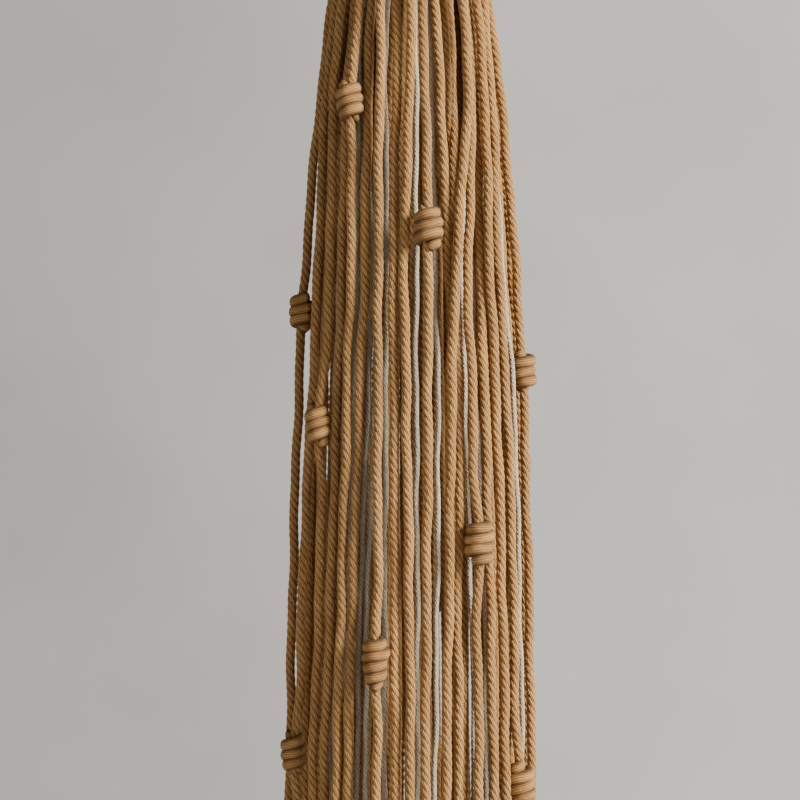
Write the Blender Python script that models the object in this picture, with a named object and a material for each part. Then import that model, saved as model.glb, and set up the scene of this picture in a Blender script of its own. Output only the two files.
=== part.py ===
"""Hanging macrame planter: a wooden ring, knotted cotton supports, a pot cradle and a long fringe.

Metres, +Z up. The origin is the point inside the top of the ring where the hook bears.
Angles of the fringe cords are in degrees, 0 towards -Y (the front) and positive towards +X.
"""

import math

import bmesh
import bpy
from mathutils import Matrix, Vector

MM = 0.001

# Cords
TAN_DIAMETER = 4.0 * MM
WHITE_DIAMETER = 2.2 * MM
PAIR_WIDTH = 8.2 * MM
GAP = 0.3 * MM
CORD_SIDES = 8

# Hanging ring, in the XZ plane
RING_HOLE_RADIUS = 30.0 * MM
RING_WIRE_RADIUS = 5.0 * MM
RING_MAJOR_RADIUS = RING_HOLE_RADIUS + RING_WIRE_RADIUS
RING_CENTRE_Z = -RING_HOLE_RADIUS
BAR_Z = RING_CENTRE_Z - RING_MAJOR_RADIUS

# Top wrap
TOP_WRAP_TOP_Z = -108.0 * MM
TOP_WRAP_HEIGHT = 34.0 * MM
TOP_WRAP_RADIUS = 15.0 * MM
TOP_WRAP_BOTTOM_Z = TOP_WRAP_TOP_Z - TOP_WRAP_HEIGHT

# Pot and saucer
POT_BASE_Z = -570.2 * MM
POT_HEIGHT = 125.0 * MM
POT_RIM_RADIUS = 68.0 * MM
POT_SHOULDER_RADIUS = 63.0 * MM
POT_BASE_RADIUS = 48.0 * MM
POT_BAND_HEIGHT = 22.0 * MM
POT_WALL = 5.0 * MM
POT_FLOOR = 6.0 * MM
SAUCER_FLOOR_Z = POT_BASE_Z - GAP
SAUCER_FLOOR = 4.3 * MM
SAUCER_HEIGHT = 14.3 * MM
SAUCER_RIM_RADIUS = 58.0 * MM
SAUCER_FOOT_RADIUS = 53.5 * MM
SAUCER_WALL = 3.2 * MM
SAUCER_BASE_Z = SAUCER_FLOOR_Z - SAUCER_FLOOR

# Cradle
SUPPORT_COUNT = 4
SUPPORT_FIRST_ANGLE = 45.0
RIM_KNOT_Z = -432.0 * MM
RIM_KNOT_ORBIT = 79.5 * MM
RIM_KNOT_RADIUS = 9.0 * MM
RIM_KNOT_HALF_HEIGHT = 10.5 * MM
CRADLE_KNOT_Z = -528.0 * MM
CRADLE_KNOT_ORBIT = 67.0 * MM
CRADLE_KNOT_RADIUS = 8.5 * MM
CRADLE_KNOT_HALF_HEIGHT = 9.5 * MM
BUNCH_RADIUS = 4.0 * MM
SINNET_RADIUS = 6.5 * MM
PAIR_OFFSET = 4.4 * MM

# Gathering knot and fringe wrap
GATHER_TOP_Z = -637.0 * MM
GATHER_HEIGHT = 25.0 * MM
GATHER_RADIUS = 13.0 * MM
GATHER_END_RADIUS = 11.0 * MM
GATHER_BOTTOM_Z = GATHER_TOP_Z - GATHER_HEIGHT
WRAP_RADIUS = 22.7 * MM
WRAP_CAVITY_RADIUS = 19.2 * MM
WRAP_CAVITY_DEPTH = 19.0 * MM
WRAP_BARREL_HEIGHT = 40.0 * MM
DOME_GAP = 0.6 * MM
SWAY_Z = GATHER_BOTTOM_Z - DOME_GAP - WRAP_RADIUS
MOUTH_Z = SWAY_Z - WRAP_BARREL_HEIGHT

# Fringe: a cord is as far from the axis as its shell's radius plus the flare at its depth below the mouth
OUTER_SHELL = 16.8 * MM
INNER_INSET = 4.5 * MM
WHITE_INSET = 8.1 * MM
FLARE = 34.0 * MM
FLARE_DEPTH = 155.0 * MM
FLARE_POWER = 1.3
FRINGE_LENGTH = 530.0 * MM
FOLD_DEPTH = -11.0 * MM
STATIONS = [0.0, 0.110, 0.210, 0.270, 0.350, 0.430, 0.530]
CORD_STEP = 0.030
CORD_DEPTHS = [CORD_STEP * step for step in range(18)]

# Knots tied in the outer cords
KNOT_RADIUS = 4.2 * MM
KNOT_HALF_HEIGHT = 6.5 * MM
KNOT_END = 9.5 * MM
BACK_STAND_OFF = 3.0 * MM
KNOT_CLEAR = 16.0 * MM

# Front cords: how far right of the axis each is at each station, in mm.
# An outer one also has the depth of its knot, and how far, in mm, the knot holds it out.
FRONT_OUTER = [
    ([-16.8, -32.8, -42.9, -46.2, -48.6, -49.8, -50.4], 0.2336, 0.4),
    ([-16.2, -31.0, -37.2, -40.0, -43.9, -45.1, -45.3], 0.412, 2.5),
    ([-14.5, -28.4, -32.2, -34.6, -36.6, -39.6, -40.5], 0.280, 2.8),
    ([-11.9, -20.8, -23.8, -25.4, -27.6, -30.0, -31.5], 0.151, 3.0),
    ([-8.4, -11.8, -13.0, -13.2, -13.2, -13.8, -16.0], 0.373, 3.0),
    ([-4.3, -0.4, -2.8, -2.0, -0.8, -0.4, -1.5], 0.478, 3.0),
    ([0.0, 4.4, 6.4, 6.6, 6.0, 5.6, 6.5], 0.202, 3.0),
    ([4.3, 21.2, 18.2, 16.0, 14.8, 13.6, 14.5], 0.452, 3.0),
    ([8.4, 22.0, 22.6, 24.2, 25.8, 27.0, 28.0], 0.326, 3.0),
    ([11.9, 26.6, 31.2, 34.0, 36.4, 38.0, 38.0], 0.500, 3.0),
    ([15.4, 29.6, 34.8, 38.4, 41.2, 42.0, 42.6], 0.4236, 2.4),
    ([16.8, 32.8, 42.9, 46.2, 48.6, 49.8, 50.4], 0.258, 0.4),
]
FRONT_INNER = [
    [-11.6, -23.0, -27.4, -29.4, -32.0, -34.8, -36.0],
    [-9.0, -16.0, -18.2, -20.4, -23.2, -25.4, -26.5],
    [-5.0, -5.6, -7.2, -6.8, -6.6, -6.4, -8.0],
    [0.0, 9.2, 14.4, 19.2, 18.4, 19.2, 20.0],
    [5.0, 15.2, 16.0, 15.6, 15.0, 15.0, 12.0],
    [9.0, 24.6, 27.6, 29.2, 31.4, 32.8, 33.2],
    [11.6, 27.0, 31.5, 34.8, 37.5, 38.8, 39.0],
]
FRONT_WHITE = [
    [-8.67, -22.0, -28.6, -30.6, -32.2, -32.0, -34.0],
    [-8.06, -19.4, -21.4, -22.6, -25.5, -30.0, -29.0],
    [-6.76, -15.6, -15.6, -17.0, -20.2, -21.6, -23.0],
    [-4.86, -12.4, -13.0, -14.2, -17.4, -17.8, -18.0],
    [-2.54, -9.4, -9.4, -10.0, -10.5, -10.8, -11.5],
    [0.0, 1.6, 2.0, 2.0, 2.4, 2.4, 1.0],
    [2.54, 7.2, 9.4, 10.6, 10.2, 9.2, 9.0],
    [4.86, 20.0, 20.5, 21.6, 24.0, 25.6, 23.0],
    [6.76, 21.8, 24.6, 26.0, 29.6, 30.0, 30.0],
    [8.06, 23.5, 33.0, 36.0, 38.6, 38.6, 37.0],
    [8.67, 26.7, 36.8, 41.6, 44.0, 45.5, 45.0],
]
# Cords that change shell on their way down: (shell, number) and the inset at each station, in mm
CROSSING = {
    ("outer", 8): [0.0, 4.5, 1.0, 0.0, 0.0, 0.0, 0.0],
    ("inner", 0): [4.5, 4.5, 1.5, 1.0, 1.0, 1.0, 1.5],
    ("inner", 1): [4.5, 3.5, 2.0, 1.5, 1.5, 1.5, 2.0],
    ("inner", 2): [4.5, 3.5, 2.0, 1.5, 1.5, 1.5, 2.0],
    ("inner", 4): [4.5, 9.5, 9.5, 9.5, 9.5, 9.5, 9.5],
    ("inner", 5): [4.5, 4.5, 4.5, 1.5, 1.5, 1.5, 2.0],
    ("white", 10): [8.1, 6.0, 3.0, 1.0, 1.5, 2.0, 3.0],
}
BACK_OUTER_COUNT = 12
BACK_INNER_COUNT = 7
BACK_WHITE_COUNT = 3
BACK_DRIFT = 2.5
BACK_OPENING = 12.0  # degrees that the back cords leave free beside the left edge cord
# Depth of each back outer cord's knot
BACK_KNOTS = [0.470, 0.300, 0.190, 0.420, 0.255, 0.355, 0.160, 0.445, 0.225, 0.385, 0.330, 0.495]
LENGTH_SPREAD = 11.0 * MM


def new_material(name, colour, roughness):
    material = bpy.data.materials.new(name)
    material.use_nodes = True
    shader = material.node_tree.nodes["Principled BSDF"]
    shader.inputs["Base Color"].default_value = (*colour, 1.0)
    shader.inputs["Roughness"].default_value = roughness
    shader.inputs["Metallic"].default_value = 0.0
    return material


def new_pivot(name, location, parent=None):
    pivot = bpy.data.objects.new(name, None)
    bpy.context.scene.collection.objects.link(pivot)
    pivot.empty_display_size = 0.02
    pivot.location = location
    if parent:
        pivot.parent = parent
        pivot.location = Vector(location) - Vector(parent["rest"])
    pivot["rest"] = location
    return pivot


def place(obj, material, pivot):
    """Links an object whose shape is in world space, gives it its material and hangs it on its pivot."""
    bpy.context.scene.collection.objects.link(obj)
    obj.data.materials.append(material)
    if pivot:
        obj.parent = pivot
        obj.matrix_parent_inverse = Matrix.Translation(-Vector(pivot["rest"]))
    return obj


def new_mesh(name, bm):
    bmesh.ops.recalc_face_normals(bm, faces=bm.faces)
    mesh = bpy.data.meshes.new(name)
    bm.to_mesh(mesh)
    bm.free()
    mesh.shade_smooth()
    mesh.set_sharp_from_angle(angle=math.radians(40))
    return mesh


def loft(name, rings, material, pivot):
    """One closed body through rings of equally many points, with both ends capped."""
    bm = bmesh.new()
    loops = [[bm.verts.new(point) for point in ring] for ring in rings]
    for low, high in zip(loops, loops[1:]):
        for i in range(len(low)):
            j = (i + 1) % len(low)
            bm.faces.new((low[i], low[j], high[j], high[i]))
    bm.faces.new(loops[0])
    bm.faces.new(loops[-1])
    return place(bpy.data.objects.new(name, new_mesh(name, bm)), material, pivot)


def section(centre, across, along, half_width, half_depth, sides=CORD_SIDES):
    """An elliptical ring of points round centre, half_width across and half_depth along."""
    ring = []
    for i in range(sides):
        turn = 2 * math.pi * (i + 0.5) / sides
        ring.append(
            centre
            + across * (half_width * math.cos(turn))
            + along * (half_depth * math.sin(turn))
        )
    return ring


def run(name, points, across, sizes, material, pivot):
    """A flat or round bunch of cords through points, level at both ends.

    sizes holds its half width and half depth at each point.
    """
    rings = []
    last = len(points) - 1
    for i, point in enumerate(points):
        ahead = points[min(i + 1, last)] - points[max(i - 1, 0)]
        if i in (0, last):
            ahead = Vector((0.0, 0.0, math.copysign(1.0, ahead.z)))
        side = (across[i] - ahead * (across[i].dot(ahead) / ahead.dot(ahead))).normalized()
        depth = ahead.normalized().cross(side)
        rings.append(section(point, side, depth, *sizes[i]))
    return loft(name, rings, material, pivot)


def turned(name, profile, sides, centre, material, pivot):
    """A closed body of revolution about a vertical axis. profile holds (radius, z), from pole to pole."""
    bm = bmesh.new()
    loops = []
    for radius, z in profile:
        count = sides if radius > 0 else 1
        ring = []
        for i in range(count):
            turn = 2 * math.pi * i / sides
            spot = (radius * math.cos(turn), radius * math.sin(turn), z)
            ring.append(bm.verts.new(Vector(spot) + centre))
        loops.append(ring)
    for low, high in zip(loops, loops[1:]):
        for i in range(sides):
            corners = []
            for ring, k in ((low, i), (low, i + 1), (high, i + 1), (high, i)):
                corner = ring[k % len(ring)]
                if corner not in corners:
                    corners.append(corner)
            bm.faces.new(corners)
    return place(bpy.data.objects.new(name, new_mesh(name, bm)), material, pivot)


def tube(name, points, radii, material, pivot):
    """A round cord as a curve with filled caps. radii holds its radius at each point."""
    curve = bpy.data.curves.new(name, "CURVE")
    curve.dimensions = "3D"
    curve.bevel_depth = 1.0
    curve.bevel_resolution = 2
    curve.use_fill_caps = True
    spline = curve.splines.new("POLY")
    spline.points.add(len(points) - 1)
    for spot, point, radius in zip(spline.points, points, radii):
        spot.co = (*point, 1.0)
        spot.radius = radius
    return place(bpy.data.objects.new(name, curve), material, pivot)


def around(angle, radius, z):
    """A point at an angle about the axis, 0 towards the front and positive towards +X."""
    turn = math.radians(angle)
    return Vector((radius * math.sin(turn), -radius * math.cos(turn), z))


def tangent(angle):
    turn = math.radians(angle)
    return Vector((math.cos(turn), math.sin(turn), 0.0))


def eased(values, depth):
    """The value at a depth, on a smooth curve through the values at STATIONS."""
    last = len(STATIONS) - 1
    i = min(max(sum(depth > s for s in STATIONS) - 1, 0), last - 1)
    low, high = STATIONS[i], STATIONS[i + 1]
    t = min(max((depth - low) / (high - low), 0.0), 1.0)

    def slope(k):
        a, b = max(k - 1, 0), min(k + 1, last)
        return (values[b] - values[a]) / (STATIONS[b] - STATIONS[a]) * (high - low)

    return (
        values[i] * (2 * t**3 - 3 * t**2 + 1)
        + slope(i) * (t**3 - 2 * t**2 + t)
        + values[i + 1] * (3 * t**2 - 2 * t**3)
        + slope(i + 1) * (t**3 - t**2)
    )


def flare(depth):
    return FLARE * (1.0 - math.exp(-((max(depth, 0.0) / FLARE_DEPTH) ** FLARE_POWER)))


def stand_off(strand, depth):
    """How far a knotted cord is held out from its shell by its own knot."""
    if strand["knot"] is None:
        return 0.0
    return strand["stand_off"] * math.exp(-(((depth - strand["knot"]) / KNOT_CLEAR) ** 2))


def on_strand(strand, depth):
    inset = eased(strand["insets"], depth)
    radius = OUTER_SHELL + flare(depth) - inset + stand_off(strand, depth)
    return around(eased(strand["angles"], depth), radius, MOUTH_Z - depth)


def strand_points(strand):
    """Points and relative radii down one strand, with a barrel where its knot is."""
    knot = strand["knot"]
    marks = [(depth, 1.0) for depth in [*CORD_DEPTHS, strand["end"]]]
    if knot is not None:
        swell = KNOT_RADIUS / (TAN_DIAMETER / 2)
        marks = [m for m in marks if abs(m[0] - knot) > KNOT_CLEAR]
        marks += [(knot - KNOT_END, 1.0), (knot - KNOT_HALF_HEIGHT, swell)]
        marks += [(knot + KNOT_HALF_HEIGHT, swell), (knot + KNOT_END, 1.0)]
    marks.sort()
    return [on_strand(strand, depth) for depth, _ in marks], [size for _, size in marks]


def folded_cord(name, first, second, diameter, material, pivot):
    """One cord folded in half: up the first strand, over inside the wrap and down the second."""
    down, down_sizes = strand_points(second)
    up, up_sizes = strand_points(first)
    left, right = on_strand(first, 0.0), on_strand(second, 0.0)
    middle, half = (left + right) / 2, (right - left) / 2
    top = Vector((0.0, 0.0, -FOLD_DEPTH))
    fold = []
    for turn in (0.0, 60.0, 120.0, 180.0):
        bend = math.radians(turn)
        rise = Vector((0.0, 0.0, half.length * math.sin(bend)))
        fold.append(middle - half * math.cos(bend) + rise + top)
    points = [*reversed(up), *fold, *down]
    sizes = [*reversed(up_sizes), *[1.0] * len(fold), *down_sizes]
    return tube(name, points, [size * diameter / 2 for size in sizes], material, pivot)


def new_strand(number, angles, insets, knot=None, stand_off=0.0):
    end = FRINGE_LENGTH + LENGTH_SPREAD * math.sin(2.3 * number)
    return {"angles": angles, "insets": insets, "knot": knot, "stand_off": stand_off, "end": end}


def front_angles(offsets, insets):
    """Angles that put a cord that far right of the axis at each station."""
    angles = []
    for offset, inset, depth in zip(offsets, insets, STATIONS):
        share = offset * MM / (OUTER_SHELL + flare(depth) - inset)
        angles.append(math.degrees(math.asin(min(max(share, -1.0), 1.0))))
    return angles


def back_angles(first, last, count, number):
    """Angles of back strand number, of count spaced evenly between two front ones, with some drift."""
    share = (number + 1) / (count + 1)
    angle = first + (last - BACK_OPENING - first) * share
    drift = BACK_DRIFT * math.sin(2.1 * number + 0.6)
    drifts = (drift / 2, drift, drift / 2, -drift / 2, -drift, 0)
    return [first + (last - first) * share, *[angle + d for d in drifts]]


def shell(name, front, inset, back_count, knotted):
    """The strands of one shell in order round the axis, the front ones first."""
    strands = []
    for number, entry in enumerate(front):
        offsets, knot, held = entry if knotted else (entry, None, 0.0)
        insets = [inset] * len(STATIONS)
        if (name, number) in CROSSING:
            insets = [value * MM for value in CROSSING[name, number]]
        strands.append(new_strand(number, front_angles(offsets, insets), insets, knot, held * MM))
    first, last = strands[-1]["angles"][0], strands[0]["angles"][0] + 360.0
    for number in range(back_count):
        angles = back_angles(first, last, back_count, number)
        knot = BACK_KNOTS[number] if knotted else None
        insets = [inset] * len(STATIONS)
        strands.append(new_strand(len(front) + number, angles, insets, knot, BACK_STAND_OFF))
    return strands


def make_ring(material):
    bm = bmesh.new()
    rounds, sides = 32, 10
    loops = []
    for i in range(rounds):
        turn = 2 * math.pi * i / rounds
        out = Vector((math.sin(turn), 0.0, math.cos(turn)))
        centre = Vector((0.0, 0.0, RING_CENTRE_Z)) + out * RING_MAJOR_RADIUS
        ring = section(centre, out, Vector((0, 1, 0)), RING_WIRE_RADIUS, RING_WIRE_RADIUS, sides)
        loops.append([bm.verts.new(point) for point in ring])
    for i in range(rounds):
        low, high = loops[i], loops[(i + 1) % rounds]
        for k in range(sides):
            j = (k + 1) % sides
            bm.faces.new((low[k], low[j], high[j], high[k]))
    mesh = new_mesh("hanging_ring", bm)
    return place(bpy.data.objects.new("hanging_ring", mesh), material, None)


def make_ring_loops(material, pivot):
    """Four pairs of cords folded over the ring's lower bar, side by side, down to the top wrap."""
    for number, (bar_x, wrap_x, inner) in enumerate(
        [
            (-13.2 * MM, -9.2 * MM, 8.2 * MM),
            (-4.4 * MM, -3.05 * MM, 6.2 * MM),
            (4.4 * MM, 3.05 * MM, 6.2 * MM),
            (13.2 * MM, 9.2 * MM, 8.2 * MM),
        ]
    ):
        rise = RING_MAJOR_RADIUS - math.sqrt(RING_MAJOR_RADIUS**2 - bar_x**2)
        centre_z = BAR_Z + rise
        radius = inner + TAN_DIAMETER / 2
        foot_z = TOP_WRAP_TOP_Z + GAP
        foot_y = 5.2 * MM
        side = [
            (wrap_x, foot_y, foot_z, 2.8 * MM, 3.0 * MM),
            (wrap_x * 1.05, foot_y * 1.1, foot_z + 8 * MM, 2.9 * MM, 2.8 * MM),
            (bar_x, radius, centre_z - 8 * MM, PAIR_WIDTH / 2, TAN_DIAMETER / 2),
        ]
        arch = []
        for turn in (0, 36, 72, 108, 144, 180):
            bend = math.radians(turn)
            y, z = -radius * math.cos(bend), centre_z + radius * math.sin(bend)
            arch.append((bar_x, y, z, PAIR_WIDTH / 2, TAN_DIAMETER / 2))
        front = [(x, -y, z, w, d) for x, y, z, w, d in side]
        path = [*front, *arch, *reversed(side)]
        points = [Vector(p[:3]) for p in path]
        across = [Vector((1, 0, 0))] * len(path)
        sizes = [p[3:] for p in path]
        run(f"ring_loop_{number + 1}", points, across, sizes, material, pivot)


def make_barrel(name, centre, radius, end_radius, half_height, sides, material, pivot):
    """A knot or wrap as a barrel, widest at its middle."""
    profile = [(0.0, -half_height), (end_radius, -half_height)]
    for share in (-0.55, 0.0, 0.55):
        profile.append((radius - (radius - end_radius) * share**2, half_height * share))
    profile += [(end_radius, half_height), (0.0, half_height)]
    return turned(name, profile, sides, centre, material, pivot)


def make_support(number, angle, material, pivot):
    """Four cords, loose under the top wrap, tied into a sinnet, then loose again to the rim knot."""
    top = around(angle, 6.3 * MM, TOP_WRAP_BOTTOM_Z - GAP)
    foot = around(angle, RIM_KNOT_ORBIT, RIM_KNOT_Z + RIM_KNOT_HALF_HEIGHT + GAP)
    stages = [(0.0, BUNCH_RADIUS), (0.08, BUNCH_RADIUS), (0.12, SINNET_RADIUS)]
    stages += [(0.45, SINNET_RADIUS), (0.76, SINNET_RADIUS), (0.80, BUNCH_RADIUS), (1.0, BUNCH_RADIUS)]
    points = [top.lerp(foot, share) for share, _ in stages]
    across = [tangent(angle)] * len(stages)
    sizes = [(radius, radius) for _, radius in stages]
    run(f"support_{number}", points, across, sizes, material, pivot)


def leg_orbit(z):
    """How far from the axis a cord runs beside the pot at height z."""
    share = (z - CRADLE_KNOT_Z) / (RIM_KNOT_Z - CRADLE_KNOT_Z)
    return 64.5 * MM + 10.0 * MM * min(max(share, 0.0), 1.0) ** 0.8


def make_cradle_legs(material, pivot):
    """From each rim knot a pair of cords runs down each way to the knots between the supports."""
    top_z = RIM_KNOT_Z - RIM_KNOT_HALF_HEIGHT - GAP
    foot_z = CRADLE_KNOT_Z + CRADLE_KNOT_HALF_HEIGHT + GAP
    number = 0
    for support in range(SUPPORT_COUNT):
        start = SUPPORT_FIRST_ANGLE + support * 90.0
        for side in (-1, 1):
            number += 1
            points, across, sizes = [], [], []
            for share in (0.0, 0.12, 0.3, 0.5, 0.7, 0.88, 1.0):
                z = top_z + (foot_z - top_z) * share
                blend = share * share * (3 - 2 * share)
                orbit = leg_orbit(z)
                edge = math.degrees(PAIR_OFFSET / orbit)
                angle = start + side * (edge + (45.0 - 2 * edge) * blend)
                points.append(around(angle, orbit, z))
                across.append(tangent(angle))
                sizes.append((PAIR_WIDTH / 2, TAN_DIAMETER / 2))
            run(f"cradle_leg_{number}", points, across, sizes, material, pivot)


def make_under_leg(number, angle, material, pivot):
    """Four cords from a cradle knot, past the saucer's edge and in under it to the gathering knot."""
    route = [(67.0, -537.8), (65.6, -556.0), (62.2, -571.5), (55.0, -583.5), (40.0, -597.0)]
    route += [(22.0, -613.0), (11.0, -626.0), (7.2, -636.7)]
    points = [around(angle, radius * MM, z * MM) for radius, z in route]
    across = [tangent(angle)] * len(points)
    sizes = [(BUNCH_RADIUS, BUNCH_RADIUS)] * len(points)
    run(f"under_leg_{number}", points, across, sizes, material, pivot)


def make_pot(material, pivot):
    top = POT_HEIGHT
    lip = 1.5 * MM
    shoulder = POT_HEIGHT - POT_BAND_HEIGHT
    lean = (POT_SHOULDER_RADIUS - POT_BASE_RADIUS) / shoulder
    inner_floor = POT_BASE_RADIUS - POT_WALL + lean * POT_FLOOR
    profile = [
        (0.0, 0.0),
        (POT_BASE_RADIUS - lip, 0.0),
        (POT_BASE_RADIUS, lip),
        (POT_SHOULDER_RADIUS, shoulder - 2 * lip),
        (POT_RIM_RADIUS, shoulder),
        (POT_RIM_RADIUS, top - lip),
        (POT_RIM_RADIUS - lip, top),
        (POT_RIM_RADIUS - POT_WALL, top),
        (POT_SHOULDER_RADIUS - POT_WALL, shoulder - 2 * lip),
        (inner_floor, POT_FLOOR),
        (0.0, POT_FLOOR),
    ]
    turned("plant_pot", profile, 36, Vector((0, 0, POT_BASE_Z)), material, pivot)


def make_saucer(material, pivot):
    lip = 1.2 * MM
    profile = [
        (0.0, 0.0),
        (SAUCER_FOOT_RADIUS - lip, 0.0),
        (SAUCER_FOOT_RADIUS, lip),
        (SAUCER_RIM_RADIUS, SAUCER_HEIGHT - lip),
        (SAUCER_RIM_RADIUS - lip, SAUCER_HEIGHT),
        (SAUCER_RIM_RADIUS - SAUCER_WALL, SAUCER_HEIGHT),
        (SAUCER_FOOT_RADIUS - SAUCER_WALL, SAUCER_FLOOR),
        (0.0, SAUCER_FLOOR),
    ]
    turned("saucer", profile, 36, Vector((0, 0, SAUCER_BASE_Z)), material, pivot)


def make_fringe_wrap(material, pivot):
    """The wrapped head of the fringe: a domed barrel, open below where the cords come out."""
    mouth = MOUTH_Z - SWAY_Z
    profile = [(0.0, WRAP_RADIUS)]
    for turn in (20, 40, 60, 75, 90):
        bend = math.radians(turn)
        profile.append((WRAP_RADIUS * math.sin(bend), WRAP_RADIUS * math.cos(bend)))
    profile += [
        (WRAP_RADIUS, mouth),
        (WRAP_CAVITY_RADIUS, mouth),
        (WRAP_CAVITY_RADIUS, mouth + WRAP_CAVITY_DEPTH),
        (0.0, mouth + WRAP_CAVITY_DEPTH),
    ]
    turned("fringe_wrap", profile, 28, Vector((0, 0, SWAY_Z)), material, pivot)


def make_fringe(tan, white, pivot):
    outer = shell("outer", FRONT_OUTER, 0.0, BACK_OUTER_COUNT, True)
    inner = shell("inner", FRONT_INNER, INNER_INSET, BACK_INNER_COUNT, False)
    pale = shell("white", FRONT_WHITE, WHITE_INSET, BACK_WHITE_COUNT, False)
    brown = [*outer, *inner]
    for number in range(len(brown) // 2):
        first, second = brown[2 * number : 2 * number + 2]
        folded_cord(f"tan_cord_{number + 1:02d}", first, second, TAN_DIAMETER, tan, pivot)
    for number in range(len(pale) // 2):
        first, second = pale[2 * number : 2 * number + 2]
        folded_cord(f"white_cord_{number + 1}", first, second, WHITE_DIAMETER, white, pivot)


def main():
    for obj in list(bpy.data.objects):
        bpy.data.objects.remove(obj, do_unlink=True)

    wood = new_material("ring_wood", (0.46, 0.27, 0.12), 0.5)
    tan = new_material("tan_cotton", (0.40, 0.22, 0.10), 0.9)
    white = new_material("white_cotton", (0.75, 0.70, 0.62), 0.9)
    clay = new_material("glazed_clay", (0.78, 0.75, 0.70), 0.35)

    hanger = new_pivot("hanger_pivot", (0.0, 0.0, BAR_Z))
    sway = new_pivot("fringe_pivot", (0.0, 0.0, SWAY_Z), hanger)
    turntable = new_pivot("saucer_pivot", (0.0, 0.0, SAUCER_BASE_Z), hanger)
    lift = new_pivot("pot_pivot", (0.0, 0.0, POT_BASE_Z), turntable)

    make_ring(wood)
    make_ring_loops(tan, hanger)
    top_wrap_centre = Vector((0, 0, TOP_WRAP_TOP_Z - TOP_WRAP_HEIGHT / 2))
    make_barrel(
        "top_wrap", top_wrap_centre, TOP_WRAP_RADIUS, 14 * MM, TOP_WRAP_HEIGHT / 2, 20, tan, hanger
    )
    for number in range(SUPPORT_COUNT):
        corner = SUPPORT_FIRST_ANGLE + number * 90.0
        make_support(number + 1, corner, tan, hanger)
        make_barrel(
            f"rim_knot_{number + 1}",
            around(corner, RIM_KNOT_ORBIT, RIM_KNOT_Z),
            RIM_KNOT_RADIUS,
            6.0 * MM,
            RIM_KNOT_HALF_HEIGHT,
            10,
            tan,
            hanger,
        )
        make_barrel(
            f"cradle_knot_{number + 1}",
            around(corner + 45.0, CRADLE_KNOT_ORBIT, CRADLE_KNOT_Z),
            CRADLE_KNOT_RADIUS,
            6.0 * MM,
            CRADLE_KNOT_HALF_HEIGHT,
            10,
            tan,
            hanger,
        )
        make_under_leg(number + 1, corner + 45.0, tan, hanger)
    make_cradle_legs(tan, hanger)
    gather_centre = Vector((0, 0, GATHER_TOP_Z - GATHER_HEIGHT / 2))
    make_barrel(
        "gathering_knot",
        gather_centre,
        GATHER_RADIUS,
        GATHER_END_RADIUS,
        GATHER_HEIGHT / 2,
        16,
        tan,
        hanger,
    )
    make_saucer(clay, turntable)
    make_pot(clay, lift)
    make_fringe_wrap(tan, sway)
    make_fringe(tan, white, sway)


main()
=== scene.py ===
import math

import bpy
import numpy as np
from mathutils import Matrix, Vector


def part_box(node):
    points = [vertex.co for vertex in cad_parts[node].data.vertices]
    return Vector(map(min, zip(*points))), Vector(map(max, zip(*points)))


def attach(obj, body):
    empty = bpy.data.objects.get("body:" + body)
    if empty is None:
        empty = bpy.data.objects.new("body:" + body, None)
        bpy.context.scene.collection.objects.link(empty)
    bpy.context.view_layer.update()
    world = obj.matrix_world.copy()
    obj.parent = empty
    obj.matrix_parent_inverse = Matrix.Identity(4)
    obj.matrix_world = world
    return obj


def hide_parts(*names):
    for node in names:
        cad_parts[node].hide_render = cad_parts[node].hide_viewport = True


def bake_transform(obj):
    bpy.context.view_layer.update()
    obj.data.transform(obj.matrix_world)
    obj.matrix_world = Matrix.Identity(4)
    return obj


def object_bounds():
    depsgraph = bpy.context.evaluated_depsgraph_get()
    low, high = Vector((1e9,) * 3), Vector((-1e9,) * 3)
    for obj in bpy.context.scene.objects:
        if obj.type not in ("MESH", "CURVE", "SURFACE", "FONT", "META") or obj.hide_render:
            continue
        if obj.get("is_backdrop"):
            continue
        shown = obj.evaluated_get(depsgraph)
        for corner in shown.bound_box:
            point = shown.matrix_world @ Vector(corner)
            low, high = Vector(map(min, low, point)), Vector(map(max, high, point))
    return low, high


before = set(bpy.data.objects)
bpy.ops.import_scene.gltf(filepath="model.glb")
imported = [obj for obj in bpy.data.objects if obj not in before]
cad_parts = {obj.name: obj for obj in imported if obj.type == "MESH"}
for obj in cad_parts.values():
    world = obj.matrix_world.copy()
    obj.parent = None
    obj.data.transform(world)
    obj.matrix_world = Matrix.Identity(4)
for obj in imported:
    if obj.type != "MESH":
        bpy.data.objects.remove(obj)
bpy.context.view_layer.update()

MM = 0.001

# ---------------------------------------------------------------- places, from the frame


def node_box(name):
    low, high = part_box(name)
    return np.array(low, float), np.array(high, float)


def level_and_half(name):
    """The height of a node's middle, and half of how tall it is."""
    low, high = node_box(name)
    return (low[2] + high[2]) / 2, (high[2] - low[2]) / 2


RING_LOW, RING_HIGH = node_box("hanging_ring")
RING_WIRE = (RING_HIGH[1] - RING_LOW[1]) / 2
RING_HOLE = 30.0 * MM
RING_MAJOR = RING_HOLE + RING_WIRE
RING_CENTRE_Z = -RING_HOLE
TOP_WRAP_LOW, TOP_WRAP_HIGH = node_box("top_wrap")
GATHER_LOW, GATHER_HIGH = node_box("gathering_knot")
WRAP_LOW, WRAP_HIGH = node_box("fringe_wrap")
MOUTH_Z = WRAP_LOW[2]
HEAD_RADIUS = 22.7 * MM  # of the fringe's dome-shaped head
SWAY_Z = WRAP_HIGH[2] - HEAD_RADIUS
POT_BASE_Z = node_box("plant_pot")[0][2]
SAUCER_BASE_Z = node_box("saucer")[0][2]

# ---------------------------------------------------------------- cords

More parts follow.
